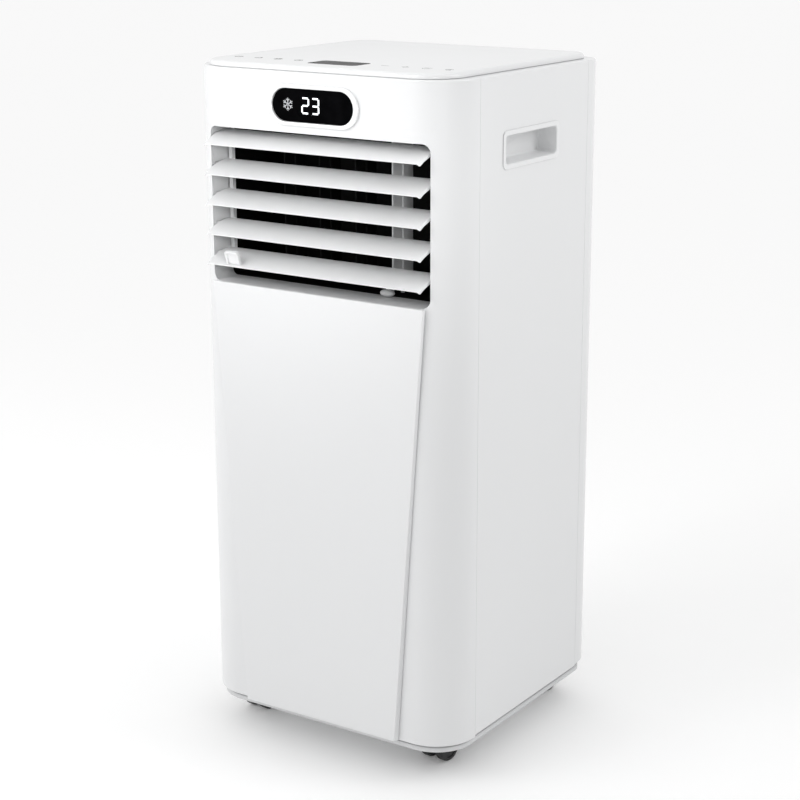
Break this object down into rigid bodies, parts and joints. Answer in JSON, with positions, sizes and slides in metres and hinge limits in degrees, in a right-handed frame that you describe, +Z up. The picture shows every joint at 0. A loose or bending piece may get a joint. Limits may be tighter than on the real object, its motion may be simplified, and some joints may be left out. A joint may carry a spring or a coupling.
{
  "type": "portable air conditioner",
  "caption": "Tall white cabinet cooler on twin-wheel casters, with tilting front louvres over swinging vanes, side grips, rear filters and an exhaust collar.",
  "frame": {"origin": "on the floor under the middle of the cabinet", "axes": "+Z up, -Y towards the front with the louvres, +X to the right seen from the front"},
  "size_m": [0.31, 0.3154, 0.7],
  "materials": {
    "white_gloss": "glossy white",
    "white_satin": "satin white",
    "tray_grey": "satin light grey",
    "black_gloss": "glossy black",
    "silver_trim": "satin silver",
    "dark_plastic": "matte black",
    "black_rubber": "matte black",
    "steel": "plain",
    "coil_aluminium": "finned",
    "white_foam": "matte",
    "board_green": "matte",
    "black_paint": "satin black",
    "copper": "copper, drawn tube"
  },
  "bodies": {
    "cabinet": {"front_shell": "white_gloss", "lower_front_panel": "white_gloss", "side_panel_left": "white_gloss", "side_panel_right": "white_gloss", "rear_shell": "white_gloss", "top_cover": "white_gloss", "top_display_window": "black_gloss", "display_lens": "black_gloss", "display_bezel": "silver_trim", "grip_cup_left": "white_satin", "grip_cup_right": "white_satin", "louvre_surround": "white_satin", "exhaust_duct": "white_satin", "air_duct": "dark_plastic", "upper_blower_scroll": "dark_plastic", "lower_blower_scroll": "dark_plastic", "cord_gland": "dark_plastic", "upper_fan_motor": "steel", "lower_fan_motor": "steel", "louvre_motor": "steel", "middle_deck": "steel", "control_box": "steel", "evaporator_coil": "coil_aluminium", "condenser_coil": "coil_aluminium", "condensate_trough": "white_foam", "main_board": "board_green", "compressor": "black_paint", "compressor_foot_1": "black_rubber", "compressor_foot_2": "black_rubber", "compressor_foot_3": "black_rubber", "discharge_pipe": "copper", "suction_pipe": "copper", "base_tray": "tray_grey"},
    "louvre_1": {"louvre_blade_1": "white_satin"},
    "louvre_2": {"louvre_blade_2": "white_satin"},
    "louvre_3": {"louvre_blade_3": "white_satin"},
    "louvre_4": {"louvre_blade_4": "white_satin"},
    "louvre_5": {"louvre_blade_5": "white_satin", "louvre_grip_tab": "white_satin"},
    "louvre_link": {"louvre_link_bar": "white_satin"},
    "vane_1": {"vertical_vane_1": "dark_plastic"},
    "vane_2": {"vertical_vane_2": "dark_plastic"},
    "vane_3": {"vertical_vane_3": "dark_plastic"},
    "vane_4": {"vertical_vane_4": "white_satin", "vane_grip_knob": "white_satin"},
    "vane_link": {"vane_link_bar": "dark_plastic"},
    "upper_impeller": {"upper_blower_wheel": "dark_plastic"},
    "lower_impeller": {"lower_blower_wheel": "dark_plastic"},
    "upper_filter": {"upper_filter_frame": "white_satin"},
    "lower_filter": {"lower_filter_frame": "white_satin"},
    "lower_drain_plug": {"drain_cap_lower": "black_rubber"},
    "upper_drain_plug": {"drain_cap_upper": "black_rubber"},
    "caster_front_left": {"caster_fork_front_left": "dark_plastic"},
    "wheels_front_left": {"caster_wheels_front_left": "black_rubber"},
    "caster_front_right": {"caster_fork_front_right": "dark_plastic"},
    "wheels_front_right": {"caster_wheels_front_right": "black_rubber"},
    "caster_rear_left": {"caster_fork_rear_left": "dark_plastic"},
    "wheels_rear_left": {"caster_wheels_rear_left": "black_rubber"},
    "caster_rear_right": {"caster_fork_rear_right": "dark_plastic"},
    "wheels_rear_right": {"caster_wheels_rear_right": "black_rubber"}
  },
  "joints": [
    {"name": "louvre_tilt_1", "type": "hinge", "parent": "cabinet", "child": "louvre_1", "pos_m": [0, -0.132, 0.6275], "axis": [1, 0, 0], "range_deg": [-30, 60]},
    {"name": "louvre_tilt_2", "type": "hinge", "parent": "cabinet", "child": "louvre_2", "pos_m": [0, -0.132, 0.5981], "axis": [1, 0, 0], "range_deg": [-30, 60]},
    {"name": "louvre_tilt_3", "type": "hinge", "parent": "cabinet", "child": "louvre_3", "pos_m": [0, -0.132, 0.5687], "axis": [1, 0, 0], "range_deg": [-30, 60]},
    {"name": "louvre_tilt_4", "type": "hinge", "parent": "cabinet", "child": "louvre_4", "pos_m": [0, -0.132, 0.5393], "axis": [1, 0, 0], "range_deg": [-30, 60]},
    {"name": "louvre_tilt_5", "type": "hinge", "parent": "cabinet", "child": "louvre_5", "pos_m": [0, -0.132, 0.5099], "axis": [1, 0, 0], "range_deg": [-30, 60]},
    {"name": "louvre_link_pivot", "type": "hinge", "parent": "louvre_1", "child": "louvre_link", "pos_m": [-0.1232, -0.1134, 0.6275], "axis": [1, 0, 0], "range_deg": [-60, 30]},
    {"name": "vane_swing_1", "type": "hinge", "parent": "cabinet", "child": "vane_1", "pos_m": [-0.06345, -0.0895, 0.57], "axis": [0, 0, 1], "range_deg": [-35, 35]},
    {"name": "vane_swing_2", "type": "hinge", "parent": "cabinet", "child": "vane_2", "pos_m": [-0.02115, -0.0895, 0.57], "axis": [0, 0, 1], "range_deg": [-35, 35]},
    {"name": "vane_swing_3", "type": "hinge", "parent": "cabinet", "child": "vane_3", "pos_m": [0.02115, -0.0895, 0.57], "axis": [0, 0, 1], "range_deg": [-35, 35]},
    {"name": "vane_swing_4", "type": "hinge", "parent": "cabinet", "child": "vane_4", "pos_m": [0.06345, -0.0895, 0.57], "axis": [0, 0, 1], "range_deg": [-35, 35]},
    {"name": "vane_link_pivot", "type": "hinge", "parent": "vane_4", "child": "vane_link", "pos_m": [0.06345, -0.0762, 0.4897], "axis": [0, 0, 1], "range_deg": [-35, 35]},
    {"name": "upper_fan_spin", "type": "hinge", "parent": "cabinet", "child": "upper_impeller", "pos_m": [0, -0.037, 0.39], "axis": [0, 1, 0], "continuous": true},
    {"name": "lower_fan_spin", "type": "hinge", "parent": "cabinet", "child": "lower_impeller", "pos_m": [0, 0.031, 0.172], "axis": [0, 1, 0], "continuous": true},
    {"name": "upper_filter_slide", "type": "slide", "parent": "cabinet", "child": "upper_filter", "axis": [0, 1, 0], "range_m": [0, 0.02]},
    {"name": "lower_filter_slide", "type": "slide", "parent": "cabinet", "child": "lower_filter", "axis": [0, 1, 0], "range_m": [0, 0.02]},
    {"name": "lower_drain_pull", "type": "slide", "parent": "cabinet", "child": "lower_drain_plug", "axis": [0, 1, 0], "range_m": [0, 0.012]},
    {"name": "upper_drain_pull", "type": "slide", "parent": "cabinet", "child": "upper_drain_plug", "axis": [0, 1, 0], "range_m": [0, 0.012]},
    {"name": "swivel_front_left", "type": "hinge", "parent": "cabinet", "child": "caster_front_left", "pos_m": [-0.1288, -0.0925, 0.0347], "axis": [0, 0, 1], "continuous": true},
    {"name": "roll_front_left", "type": "hinge", "parent": "caster_front_left", "child": "wheels_front_left", "pos_m": [-0.12821, -0.07851, 0.016], "axis": [0.9991, -0.0419, 0], "continuous": true},
    {"name": "swivel_front_right", "type": "hinge", "parent": "cabinet", "child": "caster_front_right", "pos_m": [0.0994, -0.0925, 0.0347], "axis": [0, 0, 1], "continuous": true},
    {"name": "roll_front_right", "type": "hinge", "parent": "caster_front_right", "child": "wheels_front_right", "pos_m": [0.09999, -0.07851, 0.016], "axis": [0.9991, -0.0419, 0], "continuous": true},
    {"name": "swivel_rear_left", "type": "hinge", "parent": "cabinet", "child": "caster_rear_left", "pos_m": [-0.1288, 0.114, 0.0347], "axis": [0, 0, 1], "continuous": true},
    {"name": "roll_rear_left", "type": "hinge", "parent": "caster_rear_left", "child": "wheels_rear_left", "pos_m": [-0.12821, 0.12799, 0.016], "axis": [0.9991, -0.0419, 0], "continuous": true},
    {"name": "swivel_rear_right", "type": "hinge", "parent": "cabinet", "child": "caster_rear_right", "pos_m": [0.0994, 0.114, 0.0347], "axis": [0, 0, 1], "continuous": true},
    {"name": "roll_rear_right", "type": "hinge", "parent": "caster_rear_right", "child": "wheels_rear_right", "pos_m": [0.09999, 0.12799, 0.016], "axis": [0.9991, -0.0419, 0], "continuous": true}
  ],
  "couplings": [
    {"joint": "louvre_tilt_2", "follows": "louvre_tilt_1", "ratio": 1},
    {"joint": "louvre_tilt_3", "follows": "louvre_tilt_1", "ratio": 1},
    {"joint": "louvre_tilt_4", "follows": "louvre_tilt_1", "ratio": 1},
    {"joint": "louvre_tilt_5", "follows": "louvre_tilt_1", "ratio": 1},
    {"joint": "louvre_link_pivot", "follows": "louvre_tilt_1", "ratio": -1},
    {"joint": "vane_swing_1", "follows": "vane_swing_4", "ratio": 1},
    {"joint": "vane_swing_2", "follows": "vane_swing_4", "ratio": 1},
    {"joint": "vane_swing_3", "follows": "vane_swing_4", "ratio": 1},
    {"joint": "vane_link_pivot", "follows": "vane_swing_4", "ratio": -1}
  ]
}
